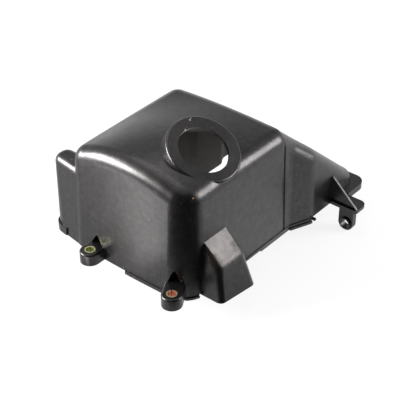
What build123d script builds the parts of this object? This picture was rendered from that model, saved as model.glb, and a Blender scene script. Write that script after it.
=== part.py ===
"""Cylinder shroud: a thin-walled moulded cover with a neck collar, a scoop and pressed-in sleeves.

All sizes are in millimetres. +Z is up and the rim that sits on the engine is the plane Z = 0.
The origin is the axis of the front lug's sleeve in that plane. The left wall faces -X, the
front wall faces -Y, and the beak runs out towards +X. Plan places (u, v) are measured from
the corner where the outer faces of the left and front walls would meet, along +X and +Y.
"""
import math
import os

from build123d import *

# Moulded wall
WALL = 2.5
DRAFT = 2.0  # degrees that the walls lean in towards the top
EDGE_R = 13.0  # outer radius where a wall turns into the top
LEFT_X = 8.5  # left wall's outer face at the rim
FRONT_Y = -8.5  # front wall's outer face at the rim

# Dome
BEAK_END = 214.0  # outer end of the whole cover, along X
DOME_DEPTH = 124.5
NEAR_CORNER_R = 24.0
DOME_CORNER_R = 18.0
LEFT_BOW = 1.5  # the left wall bulges out by this at its middle
LEFT_BOW_R = 900.0
RIDGE_TOP_Z = 91.2
CROWN_V = 60.0
CROWNS = (
    # share of the dome's length, crown's height, its fall to the front and back walls
    (-0.08, 95.3, 11.2),
    (0.34, 99.5, 14.5),
    (0.755, 94.3, 5.5),
    (1.075, RIDGE_TOP_Z, 0.3),
)

# Beak
STEP_U = BEAK_END - 86.0  # the front wall steps out between these two places
STEP_END_U = BEAK_END - 66.0
STEP_OUT = 8.0
STEP_R = 22.0
STEP_VALLEY_R = 8.0
BEAK_DEPTH = DOME_DEPTH - 17.0
BACK_STEP_U = (BEAK_END - 50.0, BEAK_END - 43.0)  # the back wall steps out between these
BACK_STEP = 5.0
BACK_STEP_R = 14.0
BACK_VALLEY_R = 6.0
BEAK_CORNER_R = 15.0
BEAK_EDGE_R = 12.0
RAMP_ANGLE = 41.0
RAMP_FOOT = 10.5  # height at which the ramp meets the beak's end wall
RAMP_SINK = 0.4  # the ramp runs in under the ridge's rounding by this

# Ear at the back end of the left wall
EAR_FROM = DOME_DEPTH - 14.5
EAR_TO = DOME_DEPTH + 21.5
EAR_TURN = 8.5  # degrees that its outer face turns in
EAR_DEPTH = 27.0
EAR_HEIGHT = 70.0
EAR_FOOT_R = 16.0  # outer corner where the form starts below the rim, and at its top
EAR_TOP_R = 8.0
EAR_BACK_R = 8.0
EAR_EDGE_R = 7.0
EAR_BAND = 1.0  # the band round its foot stands out by this
EAR_BAND_HEIGHT = 7.0

# Collar round the filler opening
COLLAR_AT = (60.5, 19.0, 100.3)  # centre of the crest
COLLAR_TILT = 29.0
COLLAR_TURN = 6.7
HOLE_R = 20.2
CREST_R = HOLE_R + 7.6
CREST_WIDTH = 2.0
CREST_ROUND = 1.8
COLLAR_SKIRT = 40.0
COLLAR_FLARE = 3.0  # degrees
COLLAR_DISH = 1.5

# Scoop on the front wall
SCOOP_TOP_Z = 45.0
SCOOP_BREAK_Z = 28.0
SCOOP_FOOT_Z = -2.0
SCOOP_TOP_U = (19.7, 47.0)
SCOOP_FOOT_U = (16.0, 54.0)
SCOOP_BREAK_OUT = 14.5
SCOOP_FOOT_OUT = (19.0, 23.5)  # at its two ends
SCOOP_R = 5.0

# Ledges along the rim: how far they stand out, then where their lower and upper faces are
LEDGES = (
    # out, low, high, reach along X, reach along Y
    (1.2, -2.2, 0.8, (-6.0, WALL), (14.0, 62.0)),
    (0.6, -1.8, 0.0, (-2.0, 14.5), (-6.0, NEAR_CORNER_R / 2)),
    (1.2, -3.8, -1.8, (4.5, 14.0), (-6.0, NEAR_CORNER_R / 2)),
    (0.6, -2.5, 0.0, (50.0, STEP_U), (-6.0, WALL)),
    (0.6, -4.2, 0.0, (STEP_U - 38.0, STEP_U), (-6.0, WALL)),
    (0.8, -2.4, 0.0, (STEP_U, STEP_END_U + 1.0), (-STEP_OUT - 6.0, WALL)),
    (1.8, -4.6, -2.4, (STEP_U, STEP_END_U), (-STEP_OUT - 6.0, WALL)),
)
NUB_U = (STEP_END_U + 1.0, STEP_END_U + 3.0)
NUB_OUT = 3.0
NUB_Z = (-2.4, -0.4)
END_FLANGE_HEIGHT = 6.0
END_FLANGE_U = BEAK_END - 24.0
END_FLANGE_OUT = 3.8
END_FLANGE_SIDE = 8.2
END_FLANGE_R = 10.0

# Lugs along the left side and their sleeves
LUG_PITCH = 84.4
SLEEVE_OD = 8.5
SLEEVE_ID = SLEEVE_OD - 1.8
LUG_R = SLEEVE_OD / 2 + 4.05
LUG_HEIGHT = 10.3
LUG_EDGE = 1.5
FRONT_LUG_TURN = 29.0
RELIEF_R = 6.2
RELIEF_TIP_R = 0.4
LUGS = (
    # place, turn, arm's reach into the wall, relief's distance and height
    ((0.0, 0.0), FRONT_LUG_TURN, 18.0, 14.0, 18.0),
    ((0.0, LUG_PITCH), 0.0, 10.5, 9.5, 10.0),
)
SEAM = 0.5
SEAM_ANGLE = 45.0

# Side bracket under the beak
SHELF_U = (BEAK_END - 39.0, BEAK_END - 22.0)
SHELF_OUT = 26.0
SHELF_THICK = 3.0
SHELF_R = 6.0
GUSSET_U = BEAK_END - 37.0
GUSSET_THICK = 1.8
GUSSET_HEIGHT = 25.5
TAB_U = BEAK_END - 38.0
TAB_THICK = 5.0
TAB_R = 7.0
TAB_OUT = 16.0
TAB_DROP = 13.0
TAB_HOLE_R = 4.2
TAB_BOSS_R = 5.3
TAB_BOSS = 1.8

BELOW = 40.0  # the forms run on this far below the rim and are cut off there
HIGH = 130.0


def at(u, v):
    """A plan point measured from the corner of the left and front walls."""
    return Vector(LEFT_X + u, FRONT_Y + v)


def moved_in(corners, inset):
    """The corners of an outline whose sides have all moved in by inset."""
    sides = []
    for (start, _), (end, _) in zip(corners, corners[1:] + corners[:1]):
        along = (end - start).normalized()
        sides.append((start + Vector(-along.Y, along.X) * inset, along))
    moved = []
    for index, (_, radius) in enumerate(corners):
        (start, before), (next_start, after) = sides[index - 1], sides[index]
        turn = before.cross(after).Z
        step = (next_start - start).cross(after).Z / turn
        if radius:
            radius -= math.copysign(inset, turn)
        moved.append((start + before * step, radius))
    return moved


def outline(corners, inset=0.0):
    """The face inside rounded corners, given anticlockwise as (place, radius)."""
    moved = moved_in(corners, inset)
    face = make_face(Polyline(*[place for place, _ in moved], close=True))
    for place, radius in moved:
        if radius:
            face = fillet([face.vertices().sort_by_distance(place)[0]], radius)
    return face


def drafted(corners, inset):
    """A tall block with drafted walls, true to the outline at the rim."""
    grow = BELOW * math.tan(math.radians(DRAFT))
    foot = outline(corners, inset - grow)
    return Pos(0, 0, -BELOW) * extrude(foot, amount=HIGH + BELOW, taper=DRAFT)


def upper_edges(solid, beyond_u=-BELOW):
    """The edges above the foot of a block, beyond a place along X."""
    found = []
    for edge in solid.edges():
        box = edge.bounding_box()
        if box.min.Z > 1 - BELOW and box.max.X > LEFT_X + beyond_u:
            found.append(edge)
    return found


def ramp_height(u, inset=0.0):
    """Height of the ramp at a place along X."""
    slope = math.radians(RAMP_ANGLE)
    return RAMP_FOOT + (BEAK_END - u) * math.tan(slope) - inset / math.cos(slope)


def dome_length():
    """Length along X that sets the ridge's rounding tangent to the ramp."""
    slope = math.radians(RAMP_ANGLE)
    centre_z = RIDGE_TOP_Z - EDGE_R
    below_ramp = EDGE_R / math.cos(slope) - RAMP_SINK
    centre_u = BEAK_END - (centre_z + below_ramp - RAMP_FOOT) / math.tan(slope)
    return centre_u + EDGE_R + centre_z * math.tan(math.radians(DRAFT))


def crown_section(share, top, fall, inset):
    """Section across X of the space under the top, with a crowned upper edge."""
    half = DOME_DEPTH / 2
    radius = (half**2 + fall**2) / (2 * fall)
    centre = top - radius
    radius -= inset
    reach = DOME_DEPTH * 0.75
    end = centre + math.sqrt(radius**2 - reach**2)
    mid = FRONT_Y + CROWN_V
    arc = ThreePointArc((mid - reach, end), (mid, centre + radius), (mid + reach, end))
    sides = Polyline(
        (mid + reach, end), (mid + reach, -BELOW), (mid - reach, -BELOW), (mid - reach, end)
    )
    plane = Plane(origin=(LEFT_X + share * dome_length(), 0, 0), x_dir=(0, 1, 0), z_dir=(1, 0, 0))
    return plane * make_face([arc, sides])


def dome_corners():
    """Corners of the dome's outline at the rim."""
    length = dome_length()
    return [
        (at(0, 0), NEAR_CORNER_R),
        (at(length, 0), DOME_CORNER_R),
        (at(length, DOME_DEPTH), DOME_CORNER_R),
        (at(0, DOME_DEPTH), DOME_CORNER_R),
        (at(-LEFT_BOW, DOME_DEPTH / 2), LEFT_BOW_R),
    ]


def dome(inset):
    """The dome: drafted walls under a crowned top, with a rolled upper edge."""
    crown = loft([crown_section(*place, inset) for place in CROWNS])
    block = drafted(dome_corners(), inset) & crown
    return fillet(upper_edges(block), EDGE_R - inset)


def beak_corners():
    """Corners of the beak's outline at the rim; it starts inside the dome."""
    start = dome_length() - DOME_CORNER_R
    return [
        (at(start, 0), 0),
        (at(STEP_U, 0), STEP_VALLEY_R),
        (at(STEP_END_U, -STEP_OUT), STEP_R),
        (at(BEAK_END, -STEP_OUT), BEAK_CORNER_R),
        (at(BEAK_END, BEAK_DEPTH), BEAK_CORNER_R),
        (at(BACK_STEP_U[1], BEAK_DEPTH), BACK_STEP_R),
        (at(BACK_STEP_U[0], BEAK_DEPTH - BACK_STEP), BACK_VALLEY_R),
        (at(start, BEAK_DEPTH - BACK_STEP), 0),
    ]


def beak(inset):
    """The beak: a wedge whose ramp comes down from the dome's ridge."""
    start = dome_length() - DOME_CORNER_R
    past = BEAK_END + BELOW
    side = Plane(origin=(LEFT_X, FRONT_Y - BELOW, 0), x_dir=(1, 0, 0), z_dir=(0, -1, 0))
    under = Polyline(
        (0, -BELOW),
        (past, -BELOW),
        (past, ramp_height(past, inset)),
        (0, ramp_height(0, inset)),
        close=True,
    )
    wedge = extrude(side * make_face(under), amount=-(BEAK_DEPTH + 3 * BELOW))
    block = drafted(beak_corners(), inset) & wedge
    block = fillet(upper_edges(block, beyond_u=start + EDGE_R), BEAK_EDGE_R - inset)
    slope = math.radians(RAMP_ANGLE)
    lean = RIDGE_TOP_Z * math.tan(math.radians(DRAFT))
    tangent_u = dome_length() - EDGE_R * (1 - math.sin(slope)) - lean
    keep = Box(BEAK_END, 4 * BEAK_DEPTH, 4 * HIGH, align=(Align.MIN, Align.CENTER, Align.CENTER))
    return block & Pos(LEFT_X + tangent_u - 3, 0, 0) * keep


def ear_section(z, inset):
    """A level section of the ear: its sides lean in with the walls, its end stands upright."""
    lean = z * math.tan(math.radians(DRAFT))
    turned = (EAR_TO - EAR_FROM) * math.tan(math.radians(EAR_TURN))
    share = (z + BELOW) / (EAR_HEIGHT + BELOW)
    corner_r = EAR_FOOT_R + (EAR_TOP_R - EAR_FOOT_R) * share
    corners = [
        (at(lean, EAR_FROM), 0),
        (at(EAR_DEPTH - lean, EAR_FROM), 0),
        (at(EAR_DEPTH - lean, EAR_TO), EAR_BACK_R),
        (at(turned + lean, EAR_TO), corner_r),
    ]
    return Pos(0, 0, z) * outline(corners, inset)


def ear(inset):
    """The lobe at the back end of the left wall, lower than the dome."""
    block = loft([ear_section(-BELOW, inset), ear_section(EAR_HEIGHT - inset, inset)], ruled=True)
    back = FRONT_Y + EAR_FROM + WALL + inset
    crest = [edge for edge in upper_edges(block) if edge.bounding_box().max.Y > back]
    return fillet(crest, EAR_EDGE_R - inset)


def ear_band():
    """The low band round the ear's end."""
    band = extrude(ear_section(0, -EAR_BAND), amount=EAR_BAND_HEIGHT)
    end = (EAR_TO - EAR_FOOT_R, EAR_TO + EAR_FOOT_R)
    return band & plan_box((0, 2 * EAR_DEPTH), end, EAR_BAND_HEIGHT)


def collar_plane():
    """The plane of the collar's crest, with its normal out along the neck."""
    tilt, turn = math.radians(COLLAR_TILT), math.radians(COLLAR_TURN)
    side = math.sin(tilt)
    out = Vector(-side * math.sin(turn), -side * math.cos(turn), math.cos(tilt))
    return Plane(origin=COLLAR_AT, x_dir=(1, 0, 0), z_dir=out)


def turned_about_neck(half):
    """A half section, given as (radius, height), turned about the neck's axis."""
    upright = Plane(origin=(0, 0, 0), x_dir=(1, 0, 0), z_dir=(0, -1, 0))
    return collar_plane().location * revolve(upright * half, Axis.Z)


def collar(inset):
    """The round step that carries the filler opening, turned about the neck's axis."""
    outer = CREST_R + CREST_WIDTH - inset
    flare = COLLAR_SKIRT * math.tan(math.radians(COLLAR_FLARE))
    section = Polyline(
        (0, -COLLAR_SKIRT), (outer + flare, -COLLAR_SKIRT), (outer, -inset), (0, -inset), close=True
    )
    half = make_face(section)
    rim = half.vertices().sort_by_distance((outer, -inset))[0]
    if inset < CREST_ROUND:
        half = fillet([rim], CREST_ROUND - inset)
    return turned_about_neck(half)


def collar_dish(inset):
    """The dished space inside the collar's crest, which the dome stays clear of."""
    low = -COLLAR_DISH - inset
    section = Polyline(
        (0, low),
        (HOLE_R - WALL, low),
        (CREST_R, -inset),
        (CREST_R, COLLAR_SKIRT),
        (0, COLLAR_SKIRT),
        close=True,
    )
    return turned_about_neck(make_face(section))


def collar_hole():
    """The filler opening through the collar's floor."""
    depth = COLLAR_DISH + 2 * WALL
    bore = Cylinder(HOLE_R, 2 * depth)
    return collar_plane().location * bore


def scoop_section(z, across, out, radius):
    """A level section of the scoop, from inside the front wall to how far it stands out."""
    back = 2 * WALL
    (first, last), (first_out, last_out) = across, out
    front = [at(first, -first_out), at(last, -last_out)]
    face = make_face(Polyline(at(first, back), *front, at(last, back), close=True))
    for place in front:
        face = fillet([face.vertices().sort_by_distance(place)[0]], radius)
    return Pos(0, 0, z) * face


def scoop(inset):
    """The hollow hood low on the front wall, open at its foot."""
    top_u = [SCOOP_TOP_U[0] + inset, SCOOP_TOP_U[1] - inset]
    foot_u = [SCOOP_FOOT_U[0] + inset, SCOOP_FOOT_U[1] - inset]
    share = (SCOOP_BREAK_Z - SCOOP_FOOT_Z) / (SCOOP_TOP_Z - SCOOP_FOOT_Z)
    break_u = [foot + (top - foot) * share for foot, top in zip(foot_u, top_u)]
    foot_out = [out - inset for out in SCOOP_FOOT_OUT]
    break_out = [SCOOP_BREAK_OUT - inset] * 2
    sections = [
        scoop_section(SCOOP_FOOT_Z - inset, foot_u, foot_out, SCOOP_R),
        scoop_section(SCOOP_BREAK_Z - inset / 2, break_u, break_out, SCOOP_R),
        scoop_section(SCOOP_TOP_Z - 1.5 * inset, top_u, [-WALL, -WALL], WALL / 2),
    ]
    return loft(sections, ruled=True)


def rim_outline(out):
    """The outline of dome and beak at the rim, grown by out."""
    dome_face = outline(dome_corners(), -out)
    return dome_face + outline(beak_corners(), -out)


def plan_box(across, along, height):
    """A block on the rim plane, given by its reach along X and Y from the wall corner."""
    (u0, u1), (v0, v1) = across, along
    block = Box(u1 - u0, v1 - v0, height, align=(Align.MIN, Align.MIN, Align.MIN))
    return Pos(LEFT_X + u0, FRONT_Y + v0, 0) * block


def rim_ledge(out, low, high, across, along):
    """A length of a ledge that follows the rim, cut out by a plan box."""
    ledge = extrude(rim_outline(out), amount=high - low)
    return Pos(0, 0, low) * (ledge & plan_box(across, along, high - low))


def end_flange():
    """The flange round the beak's end."""
    side = -STEP_OUT - END_FLANGE_SIDE
    end = BEAK_END + END_FLANGE_OUT
    back = BEAK_DEPTH + END_FLANGE_OUT
    corners = [
        (at(END_FLANGE_U, side), 0),
        (at(end, side), END_FLANGE_R),
        (at(end, back), END_FLANGE_R),
        (at(END_FLANGE_U, back), 0),
    ]
    return extrude(outline(corners), amount=END_FLANGE_HEIGHT)


def flanges():
    """The ledges along the rim, the nub beside the step, and the beak's and the ear's feet."""
    low, high = NUB_Z
    nub = plan_box(NUB_U, (-STEP_OUT - NUB_OUT, 0), high - low)
    ledges = end_flange() + ear_band() + Pos(0, 0, low) * nub
    for ledge in LEDGES:
        ledges += rim_ledge(*ledge)
    return ledges


def lug(place, turn, reach):
    """A rounded arm that carries a sleeve; turn is where it points, from -X."""
    arm = Pos(-reach / 2, 0) * Rectangle(reach, 2 * LUG_R) + Pos(-reach, 0) * Circle(LUG_R)
    block = extrude(arm, amount=LUG_HEIGHT)
    top = block.faces().sort_by(Axis.Z)[-1].edges()
    block = fillet([edge for edge in top if edge.center().X < -LUG_EDGE], LUG_EDGE)
    return Pos(*place) * Rot(0, 0, turn) * Pos(reach, 0, 0) * block


def relief(place, turn, reach, height, grow):
    """The pointed hollow in the wall above a lug that clears the bolt's head."""
    upright = (Align.CENTER, Align.CENTER, Align.MIN)
    point = Cone(RELIEF_R + grow, RELIEF_TIP_R + grow, height + grow, align=upright)
    base = Cylinder(RELIEF_R + grow, LUG_HEIGHT, align=upright)
    hollow = Pos(0, 0, LUG_HEIGHT) * point
    if grow:
        hollow += base
    return Pos(*place) * Rot(0, 0, turn) * Pos(reach, 0, 0) * hollow


def bracket():
    """The side bracket under the beak: a shelf, its gusset and the drilled tab below."""
    side_v = -STEP_OUT + WALL / 2
    shelf_corners = [
        (at(SHELF_U[0], -SHELF_OUT - STEP_OUT), SHELF_R / 2),
        (at(SHELF_U[1], -SHELF_OUT - STEP_OUT), SHELF_R),
        (at(SHELF_U[1], side_v), 0),
        (at(SHELF_U[0], side_v), 0),
    ]
    shelf = extrude(outline(shelf_corners), amount=SHELF_THICK)
    side = Plane(origin=(LEFT_X + GUSSET_U, FRONT_Y, 0), x_dir=(0, 1, 0), z_dir=(1, 0, 0))
    gusset_face = Polyline(
        (side_v, 0),
        (side_v, GUSSET_HEIGHT),
        (-STEP_OUT, GUSSET_HEIGHT),
        (-STEP_OUT - SHELF_OUT + 1, SHELF_THICK),
        (-STEP_OUT - SHELF_OUT + 1, 0),
        close=True,
    )
    gusset = extrude(side * make_face(gusset_face), amount=GUSSET_THICK)
    hole_v = -STEP_OUT - TAB_OUT
    low = Pos(hole_v, -TAB_DROP)
    tab_face = low * Circle(TAB_R) + Pos(hole_v, -TAB_DROP / 2) * Rectangle(2 * TAB_R, TAB_DROP)
    tab_side = Plane(origin=(LEFT_X + TAB_U, FRONT_Y, 0), x_dir=(0, 1, 0), z_dir=(1, 0, 0))
    tab = extrude(tab_side * tab_face, amount=TAB_THICK)
    boss = extrude(tab_side * low * Circle(TAB_BOSS_R), amount=-TAB_BOSS)
    hole = extrude(tab_side * low * Circle(TAB_HOLE_R), amount=TAB_THICK, both=True)
    return shelf + gusset + tab + boss - hole


def sleeve(place):
    """A rolled steel sleeve with its open seam."""
    ring = Cylinder(SLEEVE_OD / 2, LUG_HEIGHT) - Cylinder(SLEEVE_ID / 2, LUG_HEIGHT)
    slit = Rot(0, 0, SEAM_ANGLE) * Pos(SLEEVE_OD / 2, 0, 0) * Box(SLEEVE_OD, SEAM, LUG_HEIGHT)
    return Pos(*place, LUG_HEIGHT / 2) * (ring - slit)


def moulding():
    """The one-piece moulded cover."""
    above = Pos(0, 0, HIGH) * Box(8 * HIGH, 8 * HIGH, 2 * HIGH)
    outer = (dome(0) + beak(0) + ear(0) + collar(0)) & above
    outer -= collar_dish(0)
    outer += scoop(0)
    inner = dome(WALL) + beak(WALL) + ear(WALL) + collar(WALL)
    inner -= collar_dish(WALL)
    inner += scoop(WALL)
    for place, turn, _, into, height in LUGS:
        inner -= relief(place, turn, into, height, WALL)
    body = outer + flanges()
    for place, turn, reach, _, _ in LUGS:
        body += lug(place, turn, reach)
    body -= inner
    body -= collar_hole()
    for place, turn, _, into, height in LUGS:
        body -= relief(place, turn, into, height, 0)
        body -= Pos(*place, LUG_HEIGHT / 2) * Cylinder(SLEEVE_OD / 2, 2 * LUG_HEIGHT)
    return body + bracket()


def main():
    """Write one file for each piece."""
    os.makedirs("parts", exist_ok=True)
    pieces = {
        "shroud_moulding": moulding(),
        "front_lug_sleeve": sleeve(LUGS[0][0]),
        "rear_lug_sleeve": sleeve(LUGS[1][0]),
    }
    for name, piece in pieces.items():
        solids = piece.solids()
        print(name, len(solids), round(piece.volume), piece.is_valid)
        export_step(piece, f"parts/{name}.step")


main()
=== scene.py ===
"""Looks of the cylinder shroud: its moulded cover, its two lug sleeves and the studio round them.

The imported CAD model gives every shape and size. This script dresses it, lights it and sets the
camera, in the row frame: the front lug's sleeve is the origin, +Z is up. Lamps, cards, floor and
camera are in metres. What lies on the cover and its sleeves, or in the cavity, is in millimetres.
"""
import logging
import math
from collections.abc import Iterable
from dataclasses import dataclass
from enum import Enum

import bmesh
import bpy
from mathutils import Matrix, Vector

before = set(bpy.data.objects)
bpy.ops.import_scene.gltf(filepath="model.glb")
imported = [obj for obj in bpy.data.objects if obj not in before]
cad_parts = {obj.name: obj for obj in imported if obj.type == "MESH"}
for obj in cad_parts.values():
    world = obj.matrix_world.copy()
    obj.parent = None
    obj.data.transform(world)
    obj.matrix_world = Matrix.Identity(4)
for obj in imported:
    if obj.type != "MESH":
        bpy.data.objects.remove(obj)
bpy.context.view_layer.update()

MM = 0.001
LUG_PITCH_MM = 84.4
NEAR_CORNER = (0.0085, 0.0185)  # the cards round the near corner are swept about this upright
MIDDLE = (0.10, 0.05)  # the cover's middle, in plan

Tree = bpy.types.NodeTree
Socket = bpy.types.NodeSocket
Plan = tuple[float, float]
Point = tuple[float, float, float]

log = logging.getLogger("shroud")


class Coat(Enum):
    """The tint that a sleeve's plating shows inside its bore."""

    GREEN = "#9aa56a"
    SALMON = "#c98f78"


class Stain(Enum):
    """The colour of a mark on the moulding."""

    WORN = "#2a1f1a"
    ORANGE = "#b58058"
    BROWN = "#8a5f40"
    WHITISH = "#a19d98"
    PALE_GREY = "#9a9793"
    GREY = "#8b8884"
    DUSTY = "#3a3735"
    SMOKY = "#1f1d1c"


def linear(hex_colour: str) -> tuple[float, float, float, float]:
    """Turn an sRGB hex colour into linear light.

    Args:
        hex_colour: A colour such as "#1a1a1b".

    Returns:
        Red, green, blue and an alpha of 1.
    """
    values = []
    for start in (1, 3, 5):
        part = int(hex_colour[start:start + 2], 16) / 255
        values.append(part / 12.92 if part <= 0.04045 else ((part + 0.055) / 1.055) ** 2.4)
    return (*values, 1.0)


def metres(millimetres: Iterable[float]) -> list[float]:
    """Turn a place or a size from millimetres into metres."""
    return [part * MM for part in millimetres]


def add_node(
    tree: Tree, kind: str, inputs: dict[str | int, object] | None = None, **settings: object
) -> bpy.types.Node:
    """Add a node with its settings, values and links.

    Args:
        tree: The node tree that gets it.
        kind: The node's type, such as "ShaderNodeMath".
        inputs: Input name or number to a value, or to the output socket that feeds it.
        settings: The node's own properties.

    Returns:
        The new node.
    """
    node = tree.nodes.new(kind)
    for name, value in settings.items():
        setattr(node, name, value)
    for name, value in (inputs or {}).items():
        if isinstance(value, Socket):
            tree.links.new(value, node.inputs[name])
        else:
            node.inputs[name].default_value = value
    return node


def new_material(name: str) -> bpy.types.Material:
    """Make an empty node material.

    Args:
        name: What the material is.

    Returns:
        The material, with no nodes in it.
    """
    material = bpy.data.materials.new(name)
    material.use_nodes = True
    material.node_tree.nodes.clear()
    return material


@dataclass(frozen=True)
class Mark:
    """A small round spot of wear or dirt on the moulding, full in its core and faded at its rim."""

    place: Point
    size_mm: float
    stain: Stain

    def over(self, tree: Tree, place: Socket, colour: Socket) -> Socket:
        """Lay the mark over a colour.

        Args:
            tree: The material's tree.
            place: The Object coordinates.
            colour: The colour below it.

        Returns:
            The colour with the mark.
        """
        radius = self.size_mm * MM / 2
        away = add_node(tree, "ShaderNodeVectorMath", {
            0: place, 1: metres(self.place),
        }, operation="DISTANCE")
        inside = add_node(tree, "ShaderNodeMapRange", {
            "Value": away.outputs["Value"], "From Min": radius, "From Max": radius / 2,
        })
        return add_node(tree, "ShaderNodeMix", {
            "Factor": inside.outputs[0], 6: colour, 7: linear(self.stain.value),
        }, data_type="RGBA").outputs[2]


@dataclass(frozen=True)
class SoftBreak:
    """The break in the scoop's front, where two faces run into each other without an edge.

    Only the shading is rounded there. The rounding fades over the last part of its reach.
    """

    place: Point = (42.0, -20.0, 28.0)
    reach_mm: Point = (22.0, 11.0, 14.0)
    fade: float = 0.2
    radius_mm: float = 8.0
    samples: int = 8

    def normal(self, tree: Tree, place: Socket) -> Socket:
        """Round the shading at the spot.

        Args:
            tree: The material's tree.
            place: The Object coordinates.

        Returns:
            The rounded normal, which is the plain one away from the spot.
        """
        offset = add_node(tree, "ShaderNodeVectorMath", {
            0: place, 1: metres(self.place),
        }, operation="SUBTRACT")
        share = add_node(tree, "ShaderNodeVectorMath", {
            0: offset.outputs[0], 1: metres(self.reach_mm),
        }, operation="DIVIDE")
        away = add_node(tree, "ShaderNodeVectorMath", {0: share.outputs[0]}, operation="LENGTH")
        radius = add_node(tree, "ShaderNodeMapRange", {
            "Value": away.outputs["Value"], "From Min": 1.0, "From Max": 1.0 - self.fade,
            "To Max": self.radius_mm * MM,
        })
        return add_node(tree, "ShaderNodeBevel", {
            "Radius": radius.outputs[0],
        }, samples=self.samples).outputs[0]


@dataclass(frozen=True)
class Room:
    """A box that holds one part of the cavity and its lining.

    A face in it is lining if it looks at the room's heart.
    """

    low: Point
    high: Point
    heart: Point

    def mask(self, tree: Tree, place: Socket, normal: Socket) -> Socket:
        """Find the lining in this room.

        Args:
            tree: The material's tree.
            place: The Object coordinates.
            normal: The surface's normal.

        Returns:
            1 on the lining, else 0.
        """
        middle = metres((a + b) / 2 for a, b in zip(self.low, self.high))
        half = metres((b - a) / 2 for a, b in zip(self.low, self.high))
        offset = add_node(tree, "ShaderNodeVectorMath", {0: place, 1: middle}, operation="SUBTRACT")
        far = add_node(tree, "ShaderNodeVectorMath", {0: offset.outputs[0]}, operation="ABSOLUTE")
        past = add_node(tree, "ShaderNodeVectorMath", {0: far.outputs[0], 1: half}, operation="SUBTRACT")
        parts = add_node(tree, "ShaderNodeSeparateXYZ", {0: past.outputs[0]})
        most = parts.outputs["X"]
        for axis in ("Y", "Z"):
            most = add_node(tree, "ShaderNodeMath", {
                0: most, 1: parts.outputs[axis],
            }, operation="MAXIMUM").outputs[0]
        in_room = add_node(tree, "ShaderNodeMath", {0: most, 1: 0.0}, operation="LESS_THAN")
        inwards = add_node(tree, "ShaderNodeVectorMath", {
            0: metres(self.heart), 1: place,
        }, operation="SUBTRACT")
        facing = add_node(tree, "ShaderNodeVectorMath", {
            0: normal, 1: inwards.outputs[0],
        }, operation="DOT_PRODUCT")
        sees_heart = add_node(tree, "ShaderNodeMath", {
            0: facing.outputs["Value"], 1: 0.0,
        }, operation="GREATER_THAN")
        return add_node(tree, "ShaderNodeMath", {
            0: in_room.outputs[0], 1: sees_heart.outputs[0],
        }, operation="MULTIPLY").outputs[0]


@dataclass(frozen=True)
class Cavity:
    """The rooms under the dome and the beak, which tell the cover's lining from its outside.

    No lining looks up, so its normal's Z stays below the upward limit. The mask fades out over
    the crown.
    """

    dome: Room = Room((9.8, -8.5, 0.5), (139.0, 114.2, 110.0), (75.0, 60.0, 40.0))
    beak: Room = Room((130.0, -14.5, 0.5), (220.5, 96.6, 90.0), (136.0, 40.0, 10.0))
    upward_limit: float = 0.05
    crown_mm: tuple[float, float] = (94.0, 100.0)

    def mask(self, tree: Tree, coordinates: bpy.types.Node) -> Socket:
        """Find the lining.

        Args:
            tree: The material's tree.
            coordinates: The Texture Coordinate node.

        Returns:
            1 on the lining, 0 outside.
        """
        place, normal = coordinates.outputs["Object"], coordinates.outputs["Normal"]
        fade_from, fade_to = metres(self.crown_mm)
        in_a_room = add_node(tree, "ShaderNodeMath", {
            0: self.dome.mask(tree, place, normal), 1: self.beak.mask(tree, place, normal),
        }, operation="MAXIMUM")
        tilt = add_node(tree, "ShaderNodeSeparateXYZ", {0: normal})
        not_up = add_node(tree, "ShaderNodeMath", {
            0: tilt.outputs["Z"], 1: self.upward_limit,
        }, operation="LESS_THAN")
        height = add_node(tree, "ShaderNodeSeparateXYZ", {0: place})
        below_crown = add_node(tree, "ShaderNodeMapRange", {
            "Value": height.outputs["Z"], "From Min": fade_to, "From Max": fade_from,
        })
        mask = in_a_room.outputs[0]
        for condition in (not_up, below_crown):
            mask = add_node(tree, "ShaderNodeMath", {
                0: mask, 1: condition.outputs[0],
            }, operation="MULTIPLY").outputs[0]
        return mask


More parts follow.
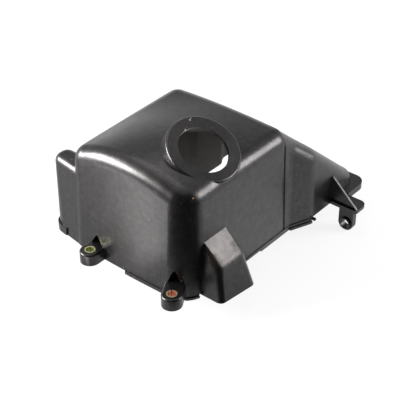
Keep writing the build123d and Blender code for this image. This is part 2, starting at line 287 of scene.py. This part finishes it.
@dataclass(frozen=True)
class MouldedPlastic:
    """Black glass-filled nylon, injection moulded in a spark-eroded tool.

    The satin skin gives broad soft highlights. The fine grain breaks them up, and handling has
    left slightly shinier and duller clouds on it. The lining was never polished or handled, so it
    is duller. Its lighter grey is painted light that stands for the light reaching the walls
    inside the cavity.
    """

    colour: str = "#0c0b0b"
    # The lining's lighter grey is painted light, standing for the light that reaches the walls inside the
    # cavity.
    lining_painted_light: str = "#413d3a"
    lining_roughness: float = 0.71
    speck_colour: str = "#2e2b29"
    roughness: tuple[float, float] = (0.28, 0.35)
    ior: float = 1.46
    sheen_tint: str = "#fffbfa"
    grain_mm: float = 0.9  # really about 0.1 mm, drawn coarse enough to show
    grain_depth_mm: float = 0.012
    cloud_mm: float = 28.0
    mottle_mm: float = 5.0
    speck_mm: float = 1.7
    shine: tuple[float, float] = (0.36, 0.55)
    noise_span: tuple[float, float] = (0.3, 0.7)  # most of a noise's values lie in it
    speck_span: tuple[float, float] = (0.74, 0.84)  # only the highest peaks are specks

    def make(self, marks: tuple[Mark, ...], cavity: Cavity, soft: SoftBreak) -> bpy.types.Material:
        """Build the material.

        Args:
            marks: Spots of wear and dirt.
            cavity: The rooms that the lining bounds.
            soft: The spot that has no edge.

        Returns:
            The finished material.
        """
        material = new_material("moulded_black_nylon")
        tree = material.node_tree
        coordinates = add_node(tree, "ShaderNodeTexCoord")
        place = coordinates.outputs["Object"]
        lining = cavity.mask(tree, coordinates)
        shader = add_node(tree, "ShaderNodeBsdfPrincipled", {
            "Base Color": self.tint(tree, place, lining, marks),
            "Roughness": self.dullness(tree, place, lining),
            "Specular IOR Level": self.shininess(tree, place),
            "Normal": self.relief(tree, place, soft),
            "Specular Tint": linear(self.sheen_tint),
            "IOR": self.ior,
        })
        add_node(tree, "ShaderNodeOutputMaterial", {"Surface": shader.outputs[0]})
        return material

    def tint(self, tree: Tree, place: Socket, lining: Socket, marks: tuple[Mark, ...]) -> Socket:
        """Colour the skin with its specks and marks, and the lining a plain lighter grey, which is painted
        light inside the cavity.

        Args:
            tree: The material's tree.
            place: The Object coordinates.
            lining: The lining's mask.
            marks: Spots of wear and dirt.

        Returns:
            The colour.
        """
        speckle = add_node(tree, "ShaderNodeTexNoise", {
            "Vector": place, "Scale": 1 / (self.speck_mm * MM), "Detail": 0.0,
        })
        specks = add_node(tree, "ShaderNodeMapRange", {
            "Value": speckle.outputs["Fac"],
            "From Min": self.speck_span[0], "From Max": self.speck_span[1],
        })
        colour = add_node(tree, "ShaderNodeMix", {
            "Factor": specks.outputs[0], 6: linear(self.colour), 7: linear(self.speck_colour),
        }, data_type="RGBA").outputs[2]
        for mark in marks:
            colour = mark.over(tree, place, colour)
        # Painted light: the lining gets a lighter grey for the light that reaches the cavity's walls.
        return add_node(tree, "ShaderNodeMix", {
            "Factor": lining, 6: colour, 7: linear(self.lining_painted_light),
        }, data_type="RGBA").outputs[2]

    def dullness(self, tree: Tree, place: Socket, lining: Socket) -> Socket:
        """Vary the skin's roughness in clouds, and make the lining duller.

        Args:
            tree: The material's tree.
            place: The Object coordinates.
            lining: The lining's mask.

        Returns:
            The roughness.
        """
        clouds = add_node(tree, "ShaderNodeTexNoise", {
            "Vector": place, "Scale": 1 / (self.cloud_mm * MM), "Detail": 3.0, "Roughness": 0.55,
        })
        rough = add_node(tree, "ShaderNodeMapRange", {
            "Value": clouds.outputs["Fac"],
            "From Min": self.noise_span[0], "From Max": self.noise_span[1],
            "To Min": self.roughness[0], "To Max": self.roughness[1],
        })
        return add_node(tree, "ShaderNodeMix", {
            "Factor": lining, 2: rough.outputs[0], 3: self.lining_roughness,
        }, data_type="FLOAT").outputs[0]

    def shininess(self, tree: Tree, place: Socket) -> Socket:
        """Mottle the strength of the shine.

        Args:
            tree: The material's tree.
            place: The Object coordinates.

        Returns:
            The specular level.
        """
        mottle = add_node(tree, "ShaderNodeTexNoise", {
            "Vector": place, "Scale": 1 / (self.mottle_mm * MM), "Detail": 4.0, "Roughness": 0.7,
        })
        return add_node(tree, "ShaderNodeMapRange", {
            "Value": mottle.outputs["Fac"],
            "From Min": self.noise_span[0], "From Max": self.noise_span[1],
            "To Min": self.shine[0], "To Max": self.shine[1],
        }).outputs[0]

    def relief(self, tree: Tree, place: Socket, soft: SoftBreak) -> Socket:
        """Raise the fine grain of the skin.

        Args:
            tree: The material's tree.
            place: The Object coordinates.
            soft: The spot that has no edge.

        Returns:
            The normal.
        """
        grain = add_node(tree, "ShaderNodeTexNoise", {
            "Vector": place, "Scale": 1 / (self.grain_mm * MM), "Detail": 2.0,
        })
        return add_node(tree, "ShaderNodeBump", {
            "Height": grain.outputs["Fac"], "Strength": 1.0, "Distance": self.grain_depth_mm * MM,
            "Normal": soft.normal(tree, place),
        }).outputs["Normal"]


@dataclass(frozen=True)
class PlatedSteel:
    """Rolled steel strip with a yellow zinc plating.

    The plating gives a warm, slightly rainbow sheen on the rim, and the bore keeps its own tint,
    which ends just past the bore's radius.
    """

    rim: str = "#cfc79a"
    rim_film: str = "#b9b58f"
    metallic: float = 0.85
    roughness: float = 0.34
    film_mm: float = 3.0
    tint_end_mm: tuple[float, float] = (0.04, 0.12)

    def make(self, name: str, coat: Coat, centre: Plan, bore_r_mm: float) -> bpy.types.Material:
        """Build the material.

        Args:
            name: The material's name.
            coat: The tint inside the bore.
            centre: The sleeve's axis in plan, in millimetres.
            bore_r_mm: The bore's radius.

        Returns:
            The finished material.
        """
        material = new_material(name)
        tree = material.node_tree
        place = add_node(tree, "ShaderNodeTexCoord").outputs["Object"]
        flat = add_node(tree, "ShaderNodeVectorMath", {
            0: place, 1: (1.0, 1.0, 0.0),
        }, operation="MULTIPLY")
        away = add_node(tree, "ShaderNodeVectorMath", {
            0: flat.outputs[0], 1: metres((*centre, 0.0)),
        }, operation="DISTANCE")
        tint_from, tint_to = metres(bore_r_mm + past for past in self.tint_end_mm)
        in_bore = add_node(tree, "ShaderNodeMapRange", {
            "Value": away.outputs["Value"], "From Min": tint_to, "From Max": tint_from,
        })
        film = add_node(tree, "ShaderNodeTexNoise", {
            "Vector": place, "Scale": 1 / (self.film_mm * MM), "Detail": 2.0,
        })
        rim = add_node(tree, "ShaderNodeMix", {
            "Factor": film.outputs["Fac"], 6: linear(self.rim), 7: linear(self.rim_film),
        }, data_type="RGBA")
        tint = add_node(tree, "ShaderNodeMix", {
            "Factor": in_bore.outputs[0], 6: rim.outputs[2], 7: linear(coat.value),
        }, data_type="RGBA")
        shader = add_node(tree, "ShaderNodeBsdfPrincipled", {
            "Base Color": tint.outputs[2], "Metallic": self.metallic, "Roughness": self.roughness,
        })
        add_node(tree, "ShaderNodeOutputMaterial", {"Surface": shader.outputs[0]})
        return material


def dress(node: str, material: bpy.types.Material) -> None:
    """Give a CAD node its material.

    Args:
        node: The CAD node's name.
        material: The material for all of its faces.
    """
    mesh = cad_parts[node].data
    for index in range(len(mesh.materials)):
        mesh.materials[index] = material
    log.info("%s wears %s", node, material.name)


@dataclass
class Cover:
    """The moulded cover, with its satin outside and the duller lining that shows in the filler hole, whose
    lighter grey is painted light.

    Its marks are the scoop's warm worn front, flecks on the near corner, chips and scratches at
    the edge of the filler hole, a rubbed spot on the collar's ring and dust on top of the ear.
    """

    finish: MouldedPlastic = MouldedPlastic()
    cavity: Cavity = Cavity()
    scoop_break: SoftBreak = SoftBreak()
    marks: tuple[Mark, ...] = (
        Mark((41.0, -16.5, 37.0), 32.0, Stain.WORN),
        Mark((22.5, -2.1, 85.4), 1.2, Stain.ORANGE),
        Mark((13.3, -0.1, 17.6), 0.9, Stain.BROWN),
        Mark((12.2, 1.0, 14.3), 1.0, Stain.BROWN),
        Mark((69.7, 40.5, 112.5), 1.7, Stain.PALE_GREY),
        Mark((71.4, 41.0, 112.9), 1.2, Stain.GREY),
        Mark((60.8, 37.6, 108.9), 2.0, Stain.WHITISH),
        Mark((63.3, 38.5, 109.6), 1.3, Stain.GREY),
        Mark((66.5, 38.9, 110.0), 1.1, Stain.GREY),
        Mark((81.2, 27.6, 105.6), 4.0, Stain.SMOKY),
        Mark((19.7, 118.5, 69.9), 2.4, Stain.DUSTY),
    )

    def build(self) -> None:
        """Dress the moulding."""
        dress("shroud_moulding", self.finish.make(self.marks, self.cavity, self.scoop_break))


@dataclass
class LugSleeve:
    """A sleeve pressed into a lug."""

    node: str
    coat: Coat
    centre: Plan
    bore_r_mm: float = 3.35
    finish: PlatedSteel = PlatedSteel()

    def build(self) -> None:
        """Dress the sleeve."""
        name = "zinc_plated_steel_" + self.coat.name.lower()
        dress(self.node, self.finish.make(name, self.coat, self.centre, self.bore_r_mm))


@dataclass(frozen=True)
class Softbox:
    """A rectangular soft lamp."""

    name: str
    place: Point
    size: tuple[float, float]
    watts: float
    target: Point = (*MIDDLE, 0.04)

    def build(self) -> None:
        """Hang the lamp and point it at its target."""
        lamp = bpy.data.lights.new(self.name, "AREA")
        lamp.shape = "RECTANGLE"
        lamp.size, lamp.size_y = self.size
        lamp.energy = self.watts
        holder = bpy.data.objects.new(self.name, lamp)
        holder.location = self.place
        aim = Vector(self.target) - Vector(self.place)
        holder.rotation_euler = aim.to_track_quat("-Z", "Y").to_euler()
        bpy.context.scene.collection.objects.link(holder)


@dataclass(frozen=True)
class Card:
    """A studio card that only reflections see, swept about an upright from a section.

    A point of the section is a reach from the upright and a height, and azimuths are degrees. The
    black flag gives the near corner its dark band. The white and grey cards light the left wall,
    the front card evens the front wall, and the ridge and the top mirror the backdrop and sky.
    """

    name: str
    section: tuple[Plan, ...]
    azimuths: tuple[float, float]
    centre: Plan
    glow: float
    steps: int = 24

    def build(self) -> None:
        """Sweep the section and hide the card from every ray but the glossy ones."""
        form = bmesh.new()
        points = [form.verts.new((reach, 0.0, height)) for reach, height in self.section]
        edges = [form.edges.new(pair) for pair in zip(points, points[1:])]
        first, last = map(math.radians, self.azimuths)
        bmesh.ops.spin(
            form, geom=points + edges, cent=(0, 0, 0), axis=(0, 0, 1), angle=last - first, steps=self.steps
        )
        form.transform(Matrix.Translation((*self.centre, 0.0)) @ Matrix.Rotation(first, 4, "Z"))
        mesh = bpy.data.meshes.new(self.name)
        form.to_mesh(mesh)
        form.free()
        card = bpy.data.objects.new(self.name, mesh)
        for ray in ("camera", "diffuse", "transmission", "volume_scatter", "shadow"):
            setattr(card, f"visible_{ray}", False)
        paper = new_material(self.name + "_paper")
        shine = add_node(paper.node_tree, "ShaderNodeEmission", {"Strength": self.glow})
        add_node(paper.node_tree, "ShaderNodeOutputMaterial", {"Surface": shine.outputs[0]})
        mesh.materials.append(paper)
        bpy.context.scene.collection.objects.link(card)


@dataclass
class Studio:
    """The pale floor, the white surroundings, the cards, the lamps and the camera.

    The floor shows as plain white for one share, and as paper with the shadow for the rest. The
    low cards lie one or two millimetres above it.
    """

    floor_z: float = -0.0202
    floor_size: float = 6.0
    floor_colour: str = "#f2f2f2"
    plain_share: float = 0.85
    fill_light: float = 0.45
    camera_place: Point = (-0.4939, -0.4372, 0.5573)
    camera_aim: Point = (0.630, 0.523, -0.574)
    camera_sees: tuple[float, float] = (0.01, 20.0)
    lens_mm: float = 103.6
    cards: tuple[Card, ...] = (
        Card("black_flag", ((0.058, -0.019), (1.5, -0.019), (1.5, 2.6)), (146.0, 294.0), NEAR_CORNER, 0.0),
        Card("white_card", ((0.065, -0.0185), (0.60, -0.0185)), (126.0, 146.0), NEAR_CORNER, 5.6),
        Card("pale_backdrop", ((1.6, -0.019), (1.6, 0.24)), (-20.0, 60.0), MIDDLE, 1.8),
        Card("grey_card", ((0.065, -0.0184), (0.60, -0.0184)), (88.0, 126.0), NEAR_CORNER, 0.97),
        Card("front_card", ((0.05, -0.0186), (0.60, -0.0186)), (290.0, 330.0), (0.08, 0.02), 1.35),
        Card("grey_sky", ((1.6, 0.60), (1.6, 2.3)), (-10.0, 90.0), MIDDLE, 0.5),
    )
    lamps: tuple[Softbox, ...] = (
        Softbox("left_back_softbox", (-0.70, 0.92, 0.46), (0.8, 0.38), 62.0),
        Softbox("right_front_softbox", (0.85, -0.85, 0.46), (0.6, 0.55), 16.5),
        Softbox("overhead_softbox", (0.4, 0.5, 1.4), (1.0, 1.0), 6.0),
    )

    def sees_white(self, tree: Tree) -> Socket:
        """Add the mask of rays that should see the white surroundings.

        Args:
            tree: The tree of the floor's material or the world.

        Returns:
            1 for camera, mirror and see-through rays, else 0.
        """
        path = add_node(tree, "ShaderNodeLightPath")
        mask = path.outputs["Is Camera Ray"]
        for ray in ("Is Glossy Ray", "Is Transmission Ray"):
            mask = add_node(tree, "ShaderNodeMath", {
                0: mask, 1: path.outputs[ray],
            }, operation="MAXIMUM").outputs[0]
        return mask

    def make_world(self) -> None:
        """Make the surroundings: white to look at, and a plain soft fill light."""
        world = bpy.data.worlds.new("white_studio")
        bpy.context.scene.world = world
        world.use_nodes = True
        tree = world.node_tree
        tree.nodes.clear()
        fill = add_node(tree, "ShaderNodeBackground", {
            "Color": linear("#ffffff"), "Strength": self.fill_light,
        })
        white = add_node(tree, "ShaderNodeBackground", {"Color": linear("#ffffff"), "Strength": 1.0})
        mix = add_node(tree, "ShaderNodeMixShader", {
            0: self.sees_white(tree), 1: fill.outputs[0], 2: white.outputs[0],
        })
        add_node(tree, "ShaderNodeOutputWorld", {"Surface": mix.outputs[0]})

    def make_floor(self) -> None:
        """Lay the pale floor, which keeps a faint shadow."""
        bpy.ops.mesh.primitive_plane_add(size=self.floor_size, location=(0, 0, self.floor_z))
        floor = bpy.context.object
        floor.name = "floor"
        material = new_material("white_paper_sweep")
        tree = material.node_tree
        paper = add_node(tree, "ShaderNodeBsdfDiffuse", {"Color": linear(self.floor_colour)})
        white = add_node(tree, "ShaderNodeEmission", {"Strength": 1.0})
        share = add_node(tree, "ShaderNodeMath", {
            0: self.sees_white(tree), 1: self.plain_share,
        }, operation="MULTIPLY")
        mix = add_node(tree, "ShaderNodeMixShader", {
            0: share.outputs[0], 1: paper.outputs[0], 2: white.outputs[0],
        })
        add_node(tree, "ShaderNodeOutputMaterial", {"Surface": mix.outputs[0]})
        floor.data.materials.append(material)

    def make_camera(self) -> None:
        """Stand the camera where the photograph was taken from."""
        data = bpy.data.cameras.new("camera")
        data.lens = self.lens_mm
        data.clip_start, data.clip_end = self.camera_sees
        camera = bpy.data.objects.new("camera", data)
        camera.location = self.camera_place
        camera.rotation_euler = Vector(self.camera_aim).to_track_quat("-Z", "Y").to_euler()
        bpy.context.scene.collection.objects.link(camera)
        bpy.context.scene.camera = camera

    def build(self) -> None:
        """Set up the whole studio."""
        bpy.context.scene.view_settings.view_transform = "Standard"
        self.make_camera()
        self.make_world()
        self.make_floor()
        for card in self.cards:
            card.build()
        for lamp in self.lamps:
            lamp.build()
        log.info("studio has %d cards and %d lamps", len(self.cards), len(self.lamps))


def main() -> None:
    """Build the studio and dress every piece."""
    logging.basicConfig(level=logging.INFO, format="%(message)s")
    Studio().build()
    Cover().build()
    LugSleeve("front_lug_sleeve", Coat.SALMON, (0.0, 0.0)).build()
    LugSleeve("rear_lug_sleeve", Coat.GREEN, (0.0, LUG_PITCH_MM)).build()


if __name__ == "__main__":
    main()
